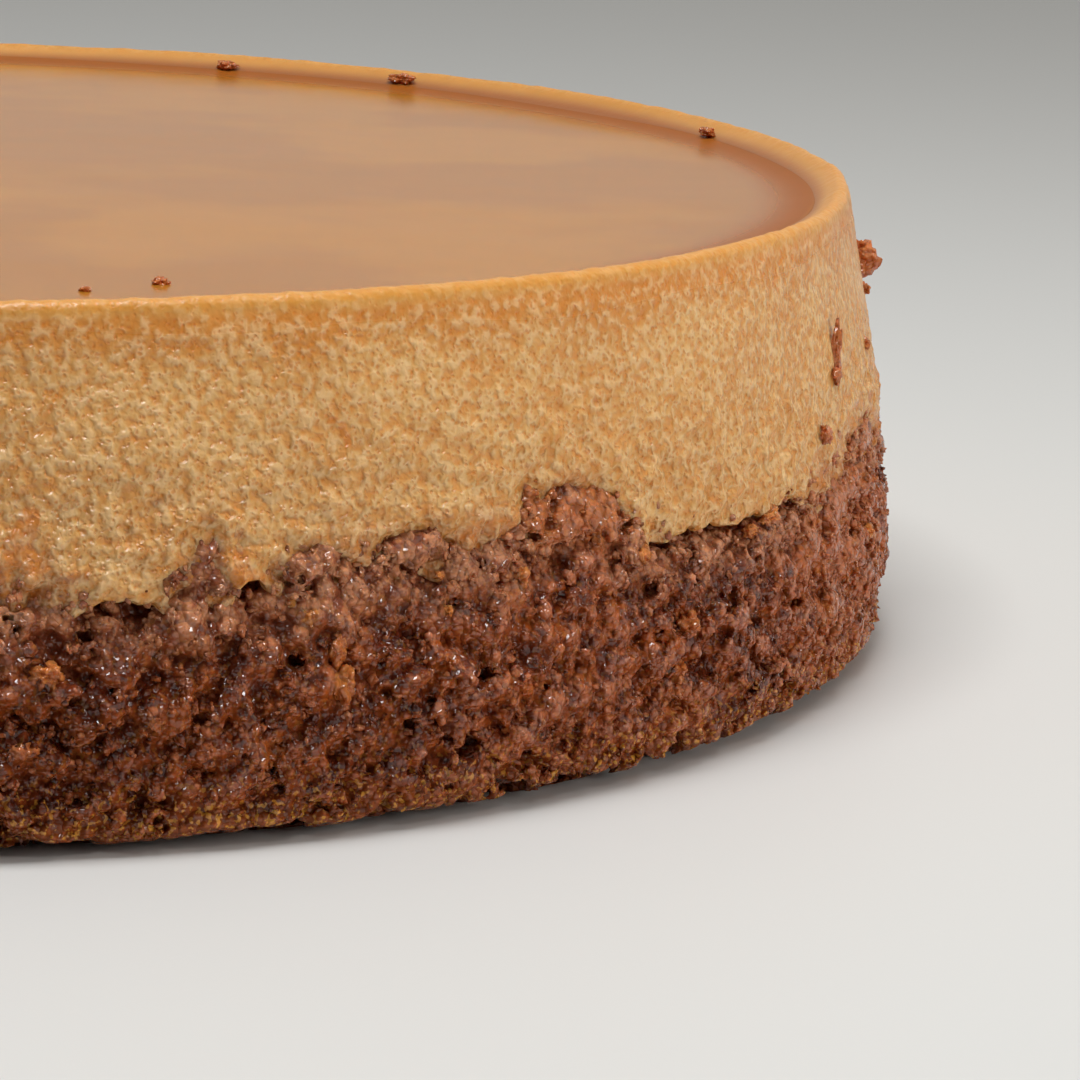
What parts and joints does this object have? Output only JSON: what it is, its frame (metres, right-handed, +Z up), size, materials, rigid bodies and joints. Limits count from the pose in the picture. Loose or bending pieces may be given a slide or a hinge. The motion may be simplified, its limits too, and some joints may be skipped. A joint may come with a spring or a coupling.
{
  "type": "chocoflan cake",
  "caption": "Round cake with a dished, caramel-soaked custard flan layer on top of a dark chocolate sponge layer, standing flat on its sponge.",
  "frame": {"origin": "centre of the flat base, on the cake's axis", "axes": "+Z up along the cake's axis, -Y towards the front, +X to the right seen from the front"},
  "size_m": [0.2112, 0.2114, 0.0464],
  "materials": {
    "baked_custard": "moist baked custard with fine pores, caramel-soaked towards its glossy top",
    "chocolate_crumb": "moist open crumb with small wet glints"
  },
  "bodies": {
    "root": {"flan": "baked_custard", "chocolate_sponge": "chocolate_crumb"}
  },
  "joints": []
}
